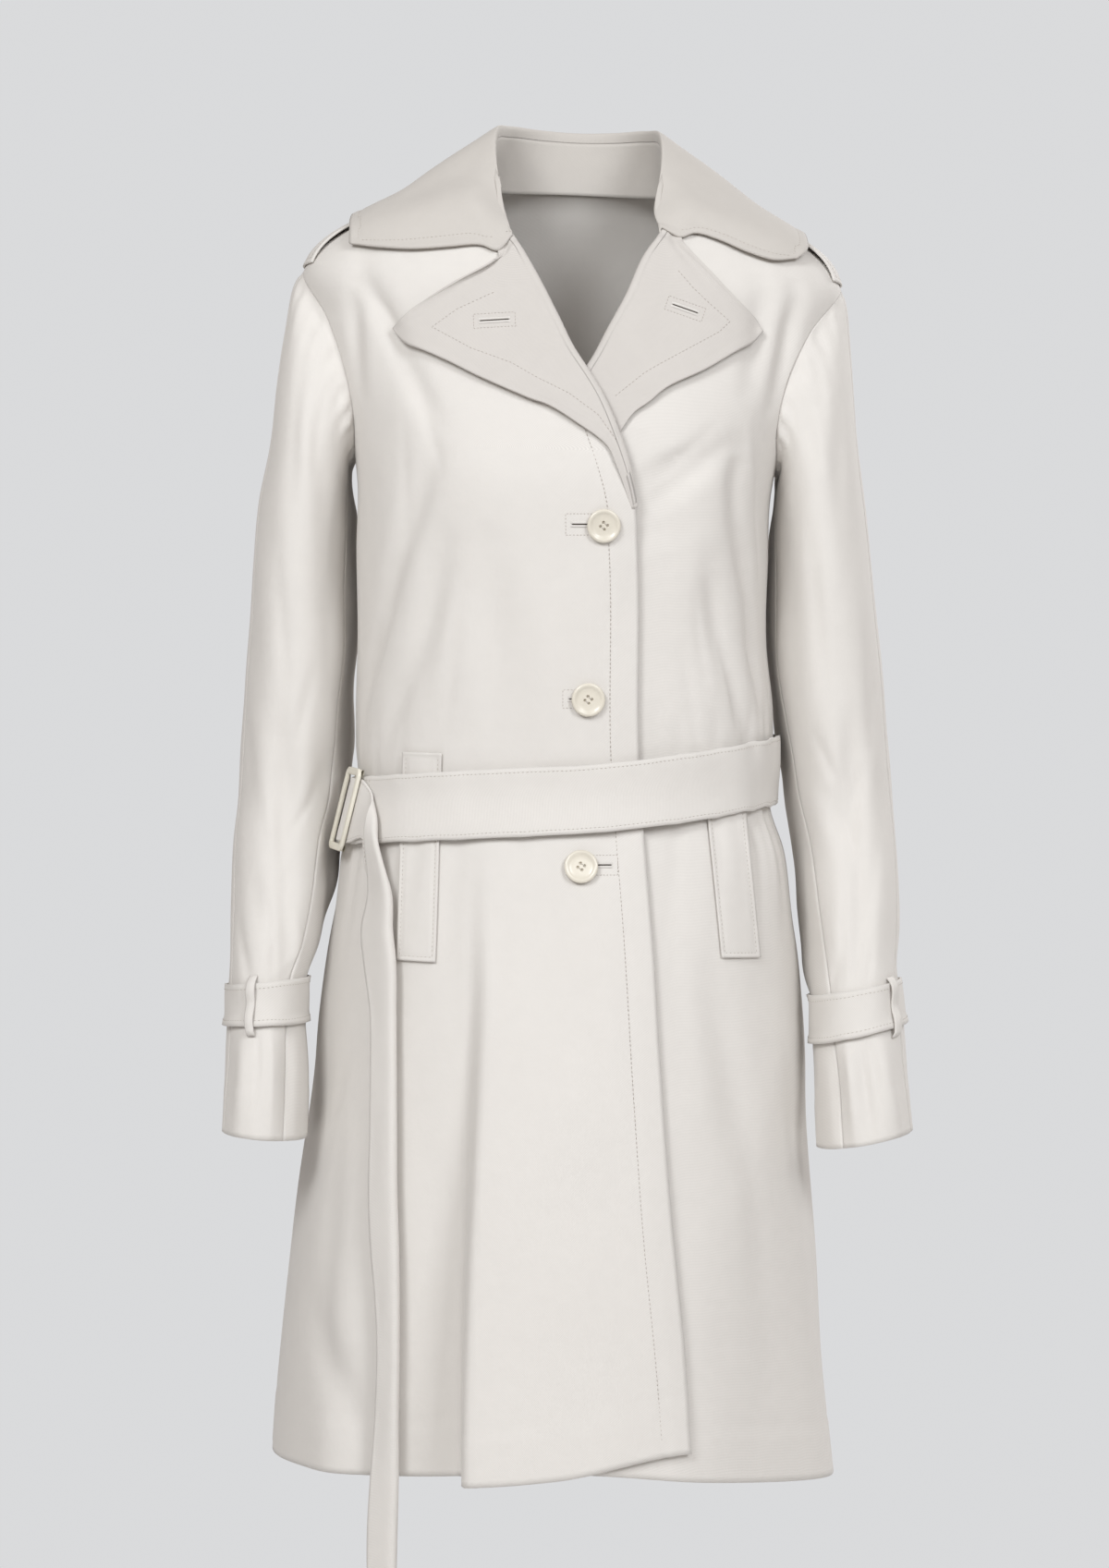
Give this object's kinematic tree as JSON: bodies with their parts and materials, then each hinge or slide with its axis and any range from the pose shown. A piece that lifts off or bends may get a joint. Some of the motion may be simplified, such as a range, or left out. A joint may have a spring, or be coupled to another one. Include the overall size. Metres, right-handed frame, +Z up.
{
  "type": "trench coat",
  "caption": "Pale stone belted trench coat in its worn hollow form: notched lapels, three buttons, cuff straps, slide buckle.",
  "frame": {"origin": "centre of the neck opening, level with the foot of the collar, where the wearer's neck and shoulders hold the coat", "axes": "+Z up along the coat's length, -Y out of the coat's front, +X to the wearer's left"},
  "size_m": [0.5035, 0.3677, 1.1191],
  "materials": {
    "coat_cloth": "matte",
    "collar_cloth": "matte",
    "ivory_plastic": "satin"
  },
  "bodies": {
    "root": {"front_right": "coat_cloth", "front_left": "coat_cloth", "back": "coat_cloth", "sleeve_right_front": "coat_cloth", "sleeve_right_back": "coat_cloth", "sleeve_left_front": "coat_cloth", "sleeve_left_back": "coat_cloth", "cuff_strap_right": "coat_cloth", "strap_loop_right": "coat_cloth", "cuff_strap_left": "coat_cloth", "strap_loop_left": "coat_cloth", "epaulette_right": "coat_cloth", "epaulette_left": "coat_cloth", "lapel_right": "coat_cloth", "lapel_left": "coat_cloth", "belt": "coat_cloth", "belt_tail": "coat_cloth", "pocket_welt_right": "coat_cloth", "pocket_welt_left": "coat_cloth", "collar_fall": "collar_cloth", "collar_stand": "collar_cloth", "belt_buckle": "ivory_plastic", "button_1": "ivory_plastic", "button_2": "ivory_plastic", "button_3": "ivory_plastic"}
  },
  "joints": []
}
